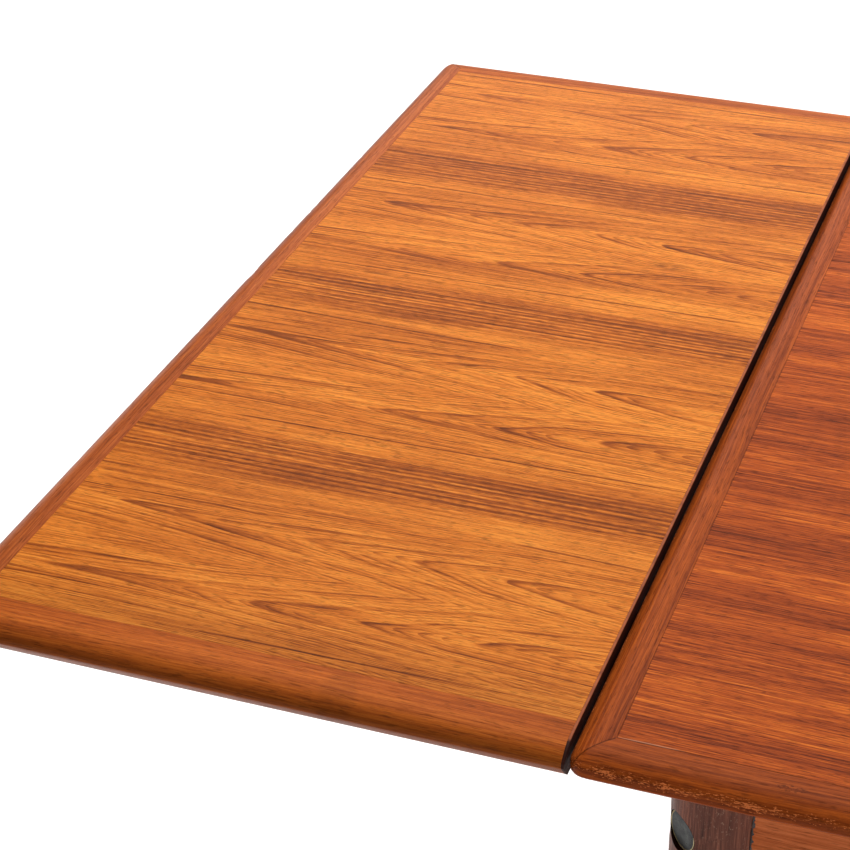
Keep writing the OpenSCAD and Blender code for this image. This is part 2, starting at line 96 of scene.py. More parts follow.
class Field:
    """A number that varies over a surface, for plain arithmetic between nodes."""

    def __init__(self, graph, socket):
        self.graph = graph
        self.socket = socket

    def __add__(self, other):
        return self.graph.math("ADD", self, other)

    def __radd__(self, other):
        return self.graph.math("ADD", other, self)

    def __sub__(self, other):
        return self.graph.math("SUBTRACT", self, other)

    def __rsub__(self, other):
        return self.graph.math("SUBTRACT", other, self)

    def __mul__(self, other):
        return self.graph.math("MULTIPLY", self, other)

    def __rmul__(self, other):
        return self.graph.math("MULTIPLY", other, self)

    def __truediv__(self, other):
        return self.graph.math("DIVIDE", self, other)

    def __abs__(self):
        return self.graph.math("ABSOLUTE", self)


class Graph:
    """Node graph of one material. Its x, y and z are millimetres in the table's frame."""

    def __init__(self, name, roughness=0.5, **sockets):
        self.material = bpy.data.materials.new(name)
        self.material.use_nodes = True
        self.tree = self.material.node_tree
        self.shader = self.tree.nodes["Principled BSDF"]
        self.shader.inputs["Roughness"].default_value = roughness
        for socket, value in sockets.items():
            self.shader.inputs[socket.replace("_", " ")].default_value = value
        place = self.tree.nodes.new("ShaderNodeTexCoord")
        scaled = self.tree.nodes.new("ShaderNodeVectorMath")
        scaled.operation = "SCALE"
        scaled.inputs["Scale"].default_value = 1 / MM
        self.tree.links.new(place.outputs["Object"], scaled.inputs[0])
        split = self.tree.nodes.new("ShaderNodeSeparateXYZ")
        self.tree.links.new(scaled.outputs[0], split.inputs[0])
        self.x, self.y, self.z = (Field(self, out) for out in split.outputs)

    def put(self, socket, value):
        """Links a field or a colour socket, or sets a plain value."""
        if isinstance(value, Field):
            self.tree.links.new(value.socket, socket)
        elif isinstance(value, bpy.types.NodeSocket):
            self.tree.links.new(value, socket)
        else:
            socket.default_value = value

    def math(self, operation, *values, clamp=False):
        node = self.tree.nodes.new("ShaderNodeMath")
        node.operation = operation
        node.use_clamp = clamp
        for socket, value in zip(node.inputs, values):
            self.put(socket, value)
        return Field(self, node.outputs[0])

    def clamp(self, value):
        return self.math("ADD", value, 0.0, clamp=True)

    def sqrt(self, value):
        return self.math("SQRT", value)

    def above(self, value, limit):
        """How far a value is over a limit, or zero."""
        return self.math("MAXIMUM", value - limit, 0.0)

    def fract(self, value):
        return self.math("FRACT", value)

    def floor(self, value):
        return self.math("FLOOR", value)

    def step(self, value, low, high):
        """Smooth step: 0 below low, 1 above high."""
        node = self.tree.nodes.new("ShaderNodeMapRange")
        node.interpolation_type = "SMOOTHSTEP"
        self.put(node.inputs["Value"], value)
        node.inputs["From Min"].default_value = low
        node.inputs["From Max"].default_value = high
        return Field(self, node.outputs["Result"])

    def noise(self, x, y, z=0.0, detail=1.0, roughness=0.5):
        """Smooth noise around 0.5, one unit coarse."""
        place = self.tree.nodes.new("ShaderNodeCombineXYZ")
        for socket, value in zip(place.inputs, (x, y, z)):
            self.put(socket, value)
        node = self.tree.nodes.new("ShaderNodeTexNoise")
        node.inputs["Scale"].default_value = 1.0
        node.inputs["Detail"].default_value = detail
        node.inputs["Roughness"].default_value = roughness
        self.tree.links.new(place.outputs[0], node.inputs["Vector"])
        return Field(self, node.outputs["Fac"])

    def spot(self, x, y, half_length, half_width):
        """1 at a place in plan, fading to 0 at the given half sizes."""
        along = (self.x - x) / half_length
        across = (self.y - y) / half_width
        return 1 - self.step(along * along + across * across, 0.25, 1.0)

    def ramp(self, value, *stops):
        """Colour from stops of (place, colour)."""
        node = self.tree.nodes.new("ShaderNodeValToRGB")
        elements = node.color_ramp.elements
        while len(elements) < len(stops):
            elements.new(0.5)
        for element, (place, colour) in zip(elements, stops):
            element.position = place
            element.color = colour
        self.put(node.inputs["Fac"], value)
        return node.outputs["Color"]

    def mix(self, factor, first, second):
        node = self.tree.nodes.new("ShaderNodeMix")
        node.data_type = "RGBA"
        node.clamp_factor = True
        self.put(node.inputs["Factor"], factor)
        self.put(node.inputs[6], first)
        self.put(node.inputs[7], second)
        return node.outputs[2]

    def scale(self, colour, factor):
        """A colour made darker or lighter by a factor."""
        node = self.tree.nodes.new("ShaderNodeVectorMath")
        node.operation = "SCALE"
        self.put(node.inputs[0], colour)
        self.put(node.inputs["Scale"], factor)
        return node.outputs[0]

    def attribute(self, name):
        node = self.tree.nodes.new("ShaderNodeAttribute")
        node.attribute_name = name
        return Field(self, node.outputs["Fac"])

    def finish(self, colour, roughness, height):
        """Connects the colour, the roughness and the height of the surface, in millimetres."""
        self.put(self.shader.inputs["Base Color"], colour)
        self.put(self.shader.inputs["Roughness"], roughness)
        bump = self.tree.nodes.new("ShaderNodeBump")
        bump.inputs["Distance"].default_value = MM
        self.put(bump.inputs["Height"], height)
        self.tree.links.new(bump.outputs["Normal"], self.shader.inputs["Normal"])
        return self.material


# ---------- wood ----------


def pores(g, along, across, depth=0.0, length=8.0, width=0.55):
    """Open pores of teak: short dark dashes along the grain, 0 to 1."""
    dashes = g.noise(along / length, across / width, depth, detail=1.0)
    return g.step(dashes, 0.54, 0.68)


def leaf_veneer(name, seed):
    """Face of a leaf: nested cathedral figures that point to the free end, dark at the joints,
    and darker along the front edge as painted shade.
    """
    g = Graph(name, Specular_IOR_Level=SATIN)
    t = LEAF_OUT - abs(g.x)
    run = (g.y + (HALF_DEPTH - SHEET_START)) / SHEET
    sheet = g.floor(run) * 0.37 + seed
    v = (g.fract(run) - 0.5) * SHEET
    sway = g.noise(t / 210, v / 45, sheet) - 0.5
    ripple = g.noise(t / 75, v / 9, sheet, detail=1.0) - 0.5
    shift = t + (g.noise(sheet * 3.1, 0.4) - 0.5) * 60
    a = abs(v + sway * 7) + ripple * 2.2

    # Height field whose level lines are the growth rings; q is the distance from a V's axis
    q = a - (FIGURE_AXIS - t * 0.028)
    far = g.above(q, 0.0)
    advance = g.math("MINIMUM", shift, LAST_TIP) / 180 + g.above(shift, LAST_TIP) / 420
    level = (
        g.sqrt(q * q + 14) * 0.088
        + far * far * 0.0012
        - advance * advance * 1.3
        + (g.noise(t / 260, v / 22, sheet) - 0.5) * 1.1
        + ripple * 0.30
        - 0.30
    )
    saw = g.fract(level)
    line = g.step(saw, 0.72, 0.94) * (1 - g.step(saw, 0.94, 1.0))
    flame = g.step(saw, 0.10, 0.88) * (1 - g.step(saw, 0.90, 1.0))
    strength = g.step(g.noise(t / 80, v / 13, sheet + 5.0), 0.36, 0.64)
    near_axis = 1 - g.step(abs(q), 3.0, 40.0)
    fine_saw = g.fract(level * 4.3 + ripple * 0.8)
    fine = g.step(fine_saw, 0.35, 0.95) * (1 - g.step(fine_saw, 0.95, 1.0))
    fine = fine * g.step(g.noise(t / 60, v / 7, sheet + 11.0), 0.36, 0.58)

    edge = g.step(a + sway * 20, 74.0, 98.0)
    streak = g.step(g.noise(t / 600, v / 1.6, sheet + 2.0, detail=2.0), 0.38, 0.60)
    wave = g.fract(v / 4.7 + g.noise(t / 330, v / 18, sheet + 4.0) * 1.8) - 0.5
    stripe = g.step(abs(wave), 0.10, 0.42)
    band = edge * (0.06 + streak * 0.18 + stripe * 0.26)
    vein = 1 - g.step(abs(a - (71 - t * 0.02)), 0.25, 1.0)
    vein = vein * g.step(g.noise(t / 140, v / 60, sheet + 9.0), 0.38, 0.56)

    fibre = g.noise(t / 50, v / 0.9, sheet, detail=3.0, roughness=0.75) - 0.5
    mottle = g.noise(t / 7, v / 2.4, sheet + 8.0, detail=1.0) - 0.5
    thread = g.noise(t / 160, v / 1.6, sheet + 3.0, detail=2.0, roughness=0.6) - 0.5
    cloud = g.noise(t / 190, v / 26, sheet + 7.0, detail=1.0) - 0.5
    dark = (
        line * (0.12 + strength * 0.22) * (0.35 + near_axis * 0.55) * (1 - edge * 0.6)
        + flame * near_axis * (0.06 + strength * 0.12) * (1 - edge)
        + fine * 0.28
        + band
        + vein * 0.50
        + cloud * 0.50
        + thread * 0.50
        + fibre * 0.95
        + mottle * (0.14 + edge * 0.30)
        + 0.16
    )
    colour = g.ramp(
        g.clamp(dark),
        (0.0, rgb(234, 144, 54)),
        (0.25, rgb(208, 114, 36)),
        (0.55, rgb(154, 75, 22)),
        (1.0, rgb(84, 38, 12)),
    )
    pore = pores(g, t, v, sheet, width=0.85)
    speck = g.noise(t / 2.2, v / 0.7, sheet + 6.0, detail=1.0) - 0.5
    dashes = g.spot(-920, 30, 13, 1.3) * 0.45 + g.spot(-929, 189, 9, 1.1) * 0.40
    knot = g.spot(-732, 107, 20, 7) * g.step(g.noise(t / 9, v / 1.2, 3.0), 0.42, 0.58)
    # Painted shade: the face darkens by 18 % at the front lipping, fading out over 45 mm.
    front_shade_fade = g.step(g.y, LEAF_LIP - HALF_DEPTH, LEAF_LIP - HALF_DEPTH + 45)
    shade = (1 - dashes - knot * 0.40) * (0.82 + front_shade_fade * 0.18)
    colour = g.scale(colour, shade * (1 - pore * 0.40 + speck * 0.26))
    rough = 0.34 + fibre * 0.14 + pore * 0.12
    return g.finish(colour, rough, fibre * 0.02 - pore * 0.04)


def joint_line(g, colour, gap):
    """Darkens a colour at a joint, where gap is the distance from it."""
    shade = 1 - g.step(gap, 0.15, 0.55)
    return g.scale(colour, 1 - shade * 0.55)


def top_veneer(name):
    """Face of the fixed top: straight ribbon grain along X, darker and redder with age."""
    g = Graph(name, Specular_IOR_Level=SATIN)
    x, y = g.x, g.y
    sway = (g.noise(x / 420, y / 90, 1.7) - 0.5) * 9
    v = y + sway
    slow = g.noise(x / 1500, v / 24, 4.0, detail=1.0) - 0.5
    stripe = g.noise(x / 330, v / 4.5, 2.0, detail=2.0, roughness=0.6) - 0.5
    ribbon = g.noise(x / 95, v / 1.4, 8.0, detail=2.0, roughness=0.65) - 0.5
    fibre = g.noise(x / 26, v / 0.8, 3.0, detail=2.0, roughness=0.75) - 0.5
    dark = 0.46 + slow * 0.75 + stripe * 0.75 + ribbon * 1.2 + fibre * 1.4
    colour = g.ramp(
        g.clamp(dark),
        (0.0, rgb(222, 118, 38)),
        (0.35, rgb(184, 84, 26)),
        (0.65, rgb(140, 58, 18)),
        (1.0, rgb(74, 30, 12)),
    )
    marks = g.step(g.noise(x / 7, y / 2.6, 12.0), 0.76, 0.82)
    pore = pores(g, x, v, 6.0, width=0.85)
    speck = g.noise(x / 2.2, v / 0.7, 9.0, detail=1.0) - 0.5
    colour = g.scale(colour, 1 - pore * 0.40 - marks * 0.5 + speck * 0.25)
    colour = g.mix(g.spot(-614, -404.6, 20, 0.7) * 0.25, colour, rgb(222, 190, 160))
    border = g.math("MINIMUM", HALF_TOP - LIP - abs(x), HALF_DEPTH - LIP - abs(y))
    colour = joint_line(g, colour, border)
    rough = 0.36 + stripe * 0.12 + pore * 0.12
    return g.finish(colour, rough, fibre * 0.02 - pore * 0.04)


def solid_teak(
    name, axis, light, middle, dark, seed, gloss=0.34, worn=None, end=None, edge_shade=0.22
):
    """Solid teak with its grain along one axis: fine lines, veins, pores, an aged surface and
    painted shade down the moulded edge.

    gloss is the roughness, worn the colour of chipped places, end the plan end of a board whose
    mitres show as lines, and the last argument how much painted shade darkens the moulded edge.
    """
    g = Graph(name, Specular_IOR_Level=SATIN)
    places = {"x": (g.x, g.y, g.z), "y": (g.y, g.x, g.z), "z": (g.z, g.x, g.y)}
    along, first, second = places[axis]
    sway = (g.noise(along / 260, first / 60, second / 60 + seed) - 0.5) * 7
    u = first + sway
    w = second + sway * 0.6
    slow = g.noise(along / 520, u / 16, w / 16 + seed) - 0.5
    lines = g.noise(along / 180, u / 2.0, w / 2.0 + seed, detail=2.0, roughness=0.6) - 0.5
    fibre = g.noise(along / 26, u / 0.6, w / 0.6 + seed, detail=2.0, roughness=0.7) - 0.5
    tone = 0.46 + slow * 0.8 + lines * 1.0 + fibre * 1.0
    colour = g.ramp(g.clamp(tone), (0.0, light), (0.5, middle), (1.0, dark))
    dashes = g.step(g.noise(along / 9, u / 0.8, w / 0.8 + seed), 0.56, 0.70)
    speck = g.noise(along / 2.2, u / 0.8, w / 0.8 + seed, detail=1.0) - 0.5
    colour = g.scale(colour, 1 - dashes * 0.34 + speck * 0.24)
    rough = gloss + lines * 0.14 + dashes * 0.10
    height = fibre * 0.03 - dashes * 0.05
    # Painted shade: darker from 1 mm below the top surface down to near the board's underside,
    # strongest on the leaves' rolled front edges.
    edge_shade_mask = g.step(TOP_Z - g.z, 1.0, 7.5) * (1 - g.step(TOP_Z - g.z, BOARD - 2, BOARD))
    colour = g.scale(colour, 1 - edge_shade_mask * edge_shade)
    smudge = g.spot(-773, 6 - HALF_DEPTH, 12, 30) * 0.14
    marks = g.spot(-541, 11 - HALF_DEPTH, 9, 3) * g.step(g.noise(along / 2, u, w), 0.48, 0.60)
    colour = g.scale(colour, 1 - smudge - marks * 0.5)
    if end:
        mitre = abs(end - abs(g.x) - (HALF_DEPTH - abs(g.y)))
        at_corner = 1 - g.step(end - abs(g.x), LIP - 0.5, LIP + 0.5)
        colour = joint_line(g, colour, mitre * 0.6 + (1 - at_corner) * 9)
    if worn:
        wear = g.attribute("wear")
        grit = g.noise(along / 2.2, u / 0.6, w / 0.6, detail=2.0, roughness=0.6) - 0.5
        patch = g.noise(along / 22, u / 6, w / 6) - 0.5
        ragged = g.step(wear + grit * 3.8 + patch * 0.8, 0.66, 0.80) * g.step(wear, 0.05, 0.2)
        colour = g.scale(colour, 1 - g.step(wear, 0.05, 0.3) * 0.16)
        colour = g.mix(ragged * 0.72, colour, worn)
        rough = rough + ragged * 0.25
    return g.finish(colour, rough, height)


def core_board():
    """Pale glued-up core, seen only where it is bored."""
    light, middle, dark = rgb(214, 184, 136), rgb(196, 160, 112), rgb(160, 124, 84)
    return solid_teak("look_core", "x", light, middle, dark, 31.0)


def beech_wood():
    """Beech: pale pinkish, with short dark flecks."""
    g = Graph("look_beech")
    tone = g.noise(g.x / 60, g.y / 14, g.z / 5, detail=2.0) - 0.5
    flecks = g.step(g.noise(g.x / 2.5, g.y / 1.2, g.z / 0.7), 0.66, 0.74)
    colour = g.ramp(
        g.clamp(0.5 + tone * 1.4),
        (0.0, rgb(222, 182, 138)),
        (1.0, rgb(178, 132, 92)),
    )
    colour = g.scale(colour, 1 - flecks * 0.2)
    return g.finish(colour, 0.55 + flecks * 0.1, tone * 0.05 - flecks * 0.03)


# ---------- metal and plastic ----------


def metal(name, light, dark, roughness, scratch=0.08):
    """Metal with cloudy tarnish and fine scratches."""
    g = Graph(name, Metallic=1.0)
    cloud = g.noise(g.x / 7, g.y / 7, g.z / 7, detail=3.0) - 0.5
    lines = g.noise(g.x / 9, g.y / 0.5, g.z / 0.8, detail=1.0) - 0.5
    colour = g.ramp(g.clamp(0.45 + cloud * 1.7), (0.0, light), (1.0, dark))
    rough = roughness + cloud * 0.25 + lines * scratch
    return g.finish(colour, rough, lines * 0.02 + cloud * 0.03)


def patinated_bolt():
    """Old steel bolt head: grey-green, pitted and dull."""
    g = Graph("look_bolt", Metallic=0.35)
    cloud = g.noise(g.x / 5, g.y / 5, g.z / 5, detail=3.0) - 0.5
    pits = g.step(g.noise(g.x / 0.9, g.y / 0.9, g.z / 0.9, detail=2.0), 0.6, 0.7)
    colour = g.ramp(
        g.clamp(0.5 + cloud * 2.0),
        (0.0, rgb(52, 57, 50)),
        (0.5, rgb(20, 22, 20)),
        (1.0, rgb(8, 9, 8)),
    )
    colour = g.scale(colour, 1 - pits * 0.35)
    return g.finish(colour, 0.48 + cloud * 0.3 + pits * 0.2, cloud * 0.08 - pits * 0.1)


def nylon():
    """Off-white nylon of the glides, scuffed grey towards the floor."""
    g = Graph("look_nylon")
    scuff = g.noise(g.x / 3, g.y / 3, g.z / 0.8, detail=3.0) - 0.5
    colour = g.ramp(
        g.clamp(0.4 + scuff * 1.4),
        (0.0, rgb(222, 218, 206)),
        (1.0, rgb(170, 162, 148)),
    )
    return g.finish(colour, 0.5 + scuff * 0.2, scuff * 0.05)


def dark_bead_look():
    """Near-black, lumpy material in the joints between legs and aprons."""
    g = Graph("look_dark_bead")
    lumps = g.noise(g.x / 1.5, g.y / 1.5, g.z / 2.5, detail=3.0) - 0.5
    colour = g.ramp(
        g.clamp(0.5 + lumps * 2.0),
        (0.0, rgb(58, 36, 28)),
        (1.0, rgb(20, 12, 10)),
    )
    return g.finish(colour, 0.45 + lumps * 0.3, lumps * 0.2)


# ---------- moulded edges ----------


def rounded(corners):
    """Open outline from corners (w, z, radius), with the marked corners rounded."""
    outline = []
    for i, (w, z, radius) in enumerate(corners):
        if not radius:
            outline.append((w, z))
            continue
        ends = []
        for near in (corners[i - 1], corners[i + 1]):
            reach = math.hypot(near[0] - w, near[1] - z)
            share = min(radius, reach * 0.45) / reach
            ends.append((w + (near[0] - w) * share, z + (near[1] - z) * share))
        (w0, z0), (w1, z1) = ends
        outline.append((w0, z0))
        outline.append(((w0 + 2 * w + w1) / 4, (z0 + 2 * z + z1) / 4))
        outline.append((w1, z1))
    return outline


def edge_section(width, edge, joint=0.2, chamfer=CHAMFER):
    """Section of a moulded edge: w inwards from the edge, z up from the top surface.

    It is chamfered below the given edge height.
    """
    span = math.asin(ROLL_W / ROLL_R)
    steps = 14
    corners = [(width, -joint, 0), (width - joint, 0, 0), (ROLL_W, 0, 0)]
    for i in range(1, steps):
        angle = span * i / steps
        drop = ROLL_R * (1 - math.cos(angle))
        corners.append((ROLL_W - ROLL_R * math.sin(angle), -drop, 0))
    corners.append((0, -ROLL_DROP, 1.2))
    corners.append((0, -edge, 0.9))
    corners.append((chamfer, -BOARD, 0.8))
    corners.append((width, -BOARD, 0))
    return rounded(corners)


def outward_normals(section):
    """Unit normals of an open section, pointing out of the wood."""
    normals = []
    for i in range(len(section)):
        w0, z0 = section[max(i - 1, 0)]
        w1, z1 = section[min(i + 1, len(section) - 1)]
        length = math.hypot(w1 - w0, z1 - z0)
        normals.append(((z1 - z0) / length, -(w1 - w0) / length))
    return normals


class Chips:
    """Worn and dented places along an arris: small ones everywhere and a few larger."""

    def __init__(self, seed, length, amount):
        draw = Random(seed)
        self.places = []
        for _ in range(int(length * amount / 9)):
            size = draw.uniform(1.2, 3.5)
            self.places.append((draw.uniform(0, length), size, draw.uniform(0.1, 0.45)))
        for _ in range(int(length * amount / 60)):
            size = draw.uniform(3, 9)
            self.places.append((draw.uniform(0, length), size, draw.uniform(0.4, 1.0)))

    def depth(self, s):
        deepest = 0.0
        for place, size, depth in self.places:
            gap = abs(s - place) / size
            if gap < 1:
                deepest = max(deepest, depth * (1 - gap * gap))
        return deepest


def lipping_stations(length, start_mitred, end_mitred, pitch):
    """Stations along an edge: (kind, value), angles round a corner or lengths between them."""
    angles = [MITRE_ANGLE + 9 * i for i in range(5)]
    first = CORNER_R if start_mitred else 0
    last = length - CORNER_R if end_mitred else length
    count = max(2, round((last - first) / pitch))
    stations = [("start", a) for a in angles] if start_mitred else []
    stations += [("run", first + (last - first) * i / count) for i in range(count + 1)]
    if end_mitred:
        stations += [("end", a) for a in reversed(angles)]
    return stations


def lipping_point(station, w, length, mitres):
    """Plan place (s along the edge, w inwards) of a section point at a station."""
    kind, value = station
    cut = min(w, LIP)
    low = cut if mitres[0] else 0
    high = length - cut if mitres[1] else length
    if kind == "run":
        return min(max(value, low), high), w
    if w >= CORNER_R:
        return (low if kind == "start" else high), w
    reach = CORNER_R - w
    s = CORNER_R - reach * math.cos(math.radians(value))
    inwards = CORNER_R - reach * math.sin(math.radians(value))
    return (s if kind == "start" else length - s), inwards


def top_long_section(s, length):
    return edge_section(LIP, TOP_EDGE)


def leaf_long_section(s, length):
    return edge_section(LEAF_LIP, LEAF_EDGE, joint=0.08)


def leaf_end_section(s, length):
    return edge_section(LIP, LEAF_EDGE)


def stopped_section(s, length):
    """Section of a short top lipping: the chamfer of the long edges fades out at both ends."""
    gap = min(s, length - s)
    fade = min(max((gap - 14) / 22, 0.0), 1.0)
    fade = fade * fade * (3 - 2 * fade)
    edge = TOP_EDGE + (BOARD - 1 - TOP_EDGE) * fade
    return edge_section(LIP, edge, chamfer=CHAMFER + (1 - CHAMFER) * fade)


def build_lipping(name, section_at, length, mitres, corner, along, inward, arris_breaks, pitch):
    """Mesh of one lipping: its section swept along an edge and round the mitred corners."""
    bm = bmesh.new()
    layer = bm.verts.layers.float.new("wear")
    rings = []
    for station in lipping_stations(length, *mitres, pitch):
        ring = []
        at = {"start": 0, "end": length}.get(station[0], station[1])
        section = section_at(at, length)
        normals = outward_normals(section)
        for (w, z), (nw, nz) in zip(section, normals):
            s, inwards = lipping_point(station, w, length, mitres)
            near = math.hypot(w, z + ROLL_DROP)
            closeness = math.exp(-((near / WORN_REACH) ** 2))
            chip = arris_breaks.depth(s) if arris_breaks else 0.0
            sink = chip * closeness
            at_mitre = min(
                s - min(w, LIP) if mitres[0] else length,
                length - s - min(w, LIP) if mitres[1] else length,
            )
            corner_line = station[1] == MITRE_ANGLE and w < CORNER_R
            if at_mitre < 0.01 or corner_line:
                sink += MITRE_GROOVE
            inwards -= sink * nw
            z -= sink * nz
            x = corner[0] + along[0] * s + inward[0] * inwards
            y = corner[1] + along[1] * s + inward[1] * inwards
            vert = bm.verts.new((x * MM, y * MM, (TOP_Z + z) * MM))
            vert[layer] = min(1.0, closeness * (0.34 + chip * 0.7))
            ring.append(vert)
        rings.append(ring)
    count = len(section)
    for first, second in zip(rings, rings[1:]):
        for i in range(count):
            j = (i + 1) % count
            bm.faces.new((first[i], first[j], second[j], second[i]))
    caps = [bm.faces.new(rings[0]), bm.faces.new(list(reversed(rings[-1])))]
    bmesh.ops.triangulate(bm, faces=caps)
    bmesh.ops.remove_doubles(bm, verts=bm.verts, dist=1e-6)
    bmesh.ops.dissolve_degenerate(bm, edges=bm.edges, dist=1e-6)
    bmesh.ops.recalc_face_normals(bm, faces=bm.faces)
    return mesh_object(name, bm, 28)


def mesh_object(name, bm, crease):
    """Object from a bmesh, smooth except at edges sharper than the crease, in degrees."""
    for face in bm.faces:
        face.smooth = True
    for edge in bm.edges:
        if len(edge.link_faces) == 2:
            edge.smooth = edge.calc_face_angle(0) < math.radians(crease)
    mesh = bpy.data.meshes.new(name)
    bm.to_mesh(mesh)
    bm.free()
    piece = bpy.data.objects.new(name, mesh)
    bpy.context.scene.collection.objects.link(piece)
    return piece


def fit_lipping(piece, node, body, material):
    piece.data.materials.append(material)
    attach(piece, body)
    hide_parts(node)


def make_top_lippings():
    """The four mitred lippings of the fixed top, worn along the long arrises."""
    light, middle, dark = rgb(190, 92, 32), rgb(138, 60, 20), rgb(70, 27, 11)
    worn = rgb(240, 132, 72)
    wood = (light, middle, dark)
    long_look = solid_teak(
        "look_top_lip_long", "x", *wood, 3.0, worn=worn, end=HALF_TOP, edge_shade=0.06
    )
    short_look = solid_teak("look_top_lip_short", "y", *wood, 9.0, worn=worn, end=HALF_TOP)
    mitres = (True, True)
    for side, y, seed in (("front", -1, 11), ("back", 1, 12)):
        piece = build_lipping(
            f"lipping_top_{side}", top_long_section, 2 * HALF_TOP, mitres,
            (-HALF_TOP, y * HALF_DEPTH), (1, 0), (0, -y), Chips(seed, 2 * HALF_TOP, 1.0), 1.6,
        )
        fit_lipping(piece, f"top_lipping_{side}", "table", long_look)
    for side, x, seed in (("left", -1, 13), ("right", 1, 14)):
        piece = build_lipping(
            f"lipping_top_{side}", stopped_section, 2 * HALF_DEPTH, mitres,
            (x * HALF_TOP, -HALF_DEPTH), (0, 1), (-x, 0), Chips(seed, 2 * HALF_DEPTH, 0.06), 2.5,
        )
        fit_lipping(piece, f"top_lipping_{side}", "table", short_look)


def make_leaf_lippings(side, x):
    """The lippings along the front, the back and the free end of one leaf."""
    seed = 21 if x < 0 else 41
    roll = solid_teak(
        f"look_{side}_leaf_roll", "x", rgb(216, 116, 41), rgb(174, 84, 28), rgb(101, 44, 16),
        seed + 0.5, end=LEAF_OUT, edge_shade=0.50,
    )
    end = solid_teak(
        f"look_{side}_leaf_end", "y", rgb(206, 114, 54), rgb(164, 80, 36), rgb(86, 38, 18),
        seed + 4.5, end=LEAF_OUT, edge_shade=0.30,
    )
    body = f"{side}_leaf"
    run = LEAF_OUT - LEAF_IN - STRIP
    corner_x = x * LEAF_OUT
    for place, y in (("front", -1), ("back", 1)):
        piece = build_lipping(
            f"lipping_{side}_leaf_{place}", leaf_long_section, run, (True, False),
            (corner_x, y * HALF_DEPTH), (-x, 0), (0, -y), Chips(seed + y + 2, run, 0.15), 3.5,
        )
        fit_lipping(piece, f"{side}_leaf_lipping_{place}", body, roll)
    piece = build_lipping(
        f"lipping_{side}_leaf_end", leaf_end_section, 2 * HALF_DEPTH, (True, True),
        (corner_x, -HALF_DEPTH), (0, 1), (-x, 0), Chips(seed + 9, 2 * HALF_DEPTH, 0.15), 3.5,
    )
    fit_lipping(piece, f"{side}_leaf_lipping_end", body, end)


# ---------- dark joint beads ----


def leg_radius(z):
    return LEG_FOOT_R + (LEG_TOP_R - LEG_FOOT_R) * (z - LEG_FOOT_Z) / (UNDER_Z - LEG_FOOT_Z)


def build_bead(name, draw, joint, x_side, y_side):
    """Jagged dark bead up one joint of a leg and an apron."""
    bm = bmesh.new()
    rings = []
    steps = 60
    for i in range(steps + 1):
        z = APRON_Z + 1 + (UNDER_Z - APRON_Z - 2) * i / steps
        (x, y), (ax, ay), (bx, by) = joint(z, x_side, y_side)
        taper = min(1.0, i / 4, (steps - i) / 4)
        left = taper * draw.uniform(0.3, 1.4) + 0.05
        right = taper * draw.uniform(0.5, 2.3) + 0.05
        rise = taper * draw.uniform(0.3, 0.9) + 0.02
        ring = [
            (x - ax * left - bx * 0.4, y - ay * left - by * 0.4),
            (x + bx * rise, y + by * rise),
            (x + ax * right - bx * 0.4, y + ay * right - by * 0.4),
        ]
        rings.append([bm.verts.new((px * MM, py * MM, z * MM)) for px, py in ring])
    for first, second in zip(rings, rings[1:]):
        for i in range(3):
            j = (i + 1) % 3
            bm.faces.new((first[i], first[j], second[j], second[i]))
    bm.faces.new(rings[0])
    bm.faces.new(rings[-1])
    bmesh.ops.recalc_face_normals(bm, faces=bm.faces)
    return mesh_object(name, bm, 40)


def long_apron_joint(z, x_side, y_side):
    """Where a leg meets the front or back apron at a height: point, along and out."""
    reach = math.sqrt(leg_radius(z) ** 2 - (APRON_Y - LEG_Y) ** 2)
    point = (x_side * (LEG_X - reach), y_side * APRON_Y)
    return point, (-x_side, 0), (0, y_side)


def short_apron_joint(z, x_side, y_side):
    """Where a leg meets an end apron at a height: point, along and out."""
    reach = math.sqrt(leg_radius(z) ** 2 - (APRON_X - LEG_X) ** 2)
    point = (x_side * APRON_X, y_side * (LEG_Y - reach))
    return point, (0, -y_side), (x_side, 0)


def make_dark_beads():
    """One bead where each apron's outer face meets each leg."""
    material = dark_bead_look()
    for x_side, x_name in ((-1, "left"), (1, "right")):
        for y_side, y_name in ((-1, "front"), (1, "back")):
            draw = Random(f"{x_name} {y_name}")
            for kind, joint in (("long", long_apron_joint), ("short", short_apron_joint)):
                name = f"glue_{y_name}_{x_name}_{kind}"
                piece = build_bead(name, draw, joint, x_side, y_side)
                piece.data.materials.append(material)
                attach(piece, "table")


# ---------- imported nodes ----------


def dress(names, material, bevel=0.0):
    """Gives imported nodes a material, and small rounded edges where bevel is set."""
    for name in names:
        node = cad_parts[name]
        for slot in node.material_slots:
            slot.material = material
        if bevel:
            weld = node.modifiers.new("weld", "WELD")
            weld.merge_threshold = 0.01 * MM
            edges = node.modifiers.new("edges", "BEVEL")
            edges.width = bevel * MM
            edges.segments = 2
            edges.limit_method = "ANGLE"
            edges.angle_limit = math.radians(40)
            edges.harden_normals = False
            smooth = node.modifiers.new("smooth", "WEIGHTED_NORMAL")
            smooth.keep_sharp = True


def strip_wood(name, seed):
    """Strip on a leaf's hinged edge: a painted highlight along its top arris over a face painted
    near black as shadow.
    """
    g = Graph(name, Specular_IOR_Level=0.1)
    lines = g.noise(g.y / 120, g.z / 2.0, seed, detail=2.0) - 0.5
    arris_breaks = g.noise(g.y / 9, seed, 2.0, detail=2.0) - 0.5
    # Painted shadow: the strip's face is near black, as the shaded face between the leaf and the
    # top.
    face = g.ramp(g.clamp(0.5 + lines * 1.6), (0.0, rgb(66, 30, 22)), (1.0, rgb(26, 12, 9)))
    # Painted highlight: a pale pinkish band along the top arris, broken up by noise.
    pale = g.ramp(g.clamp(0.5 + arris_breaks * 1.8), (0.0, rgb(190, 106, 64)), (1.0, rgb(112, 54, 36)))
    top = g.step(g.z + arris_breaks * 0.8, TOP_Z - 1.0, TOP_Z - 0.3)
    return g.finish(g.mix(top, face, pale), 0.6 + lines * 0.2, lines * 0.04)


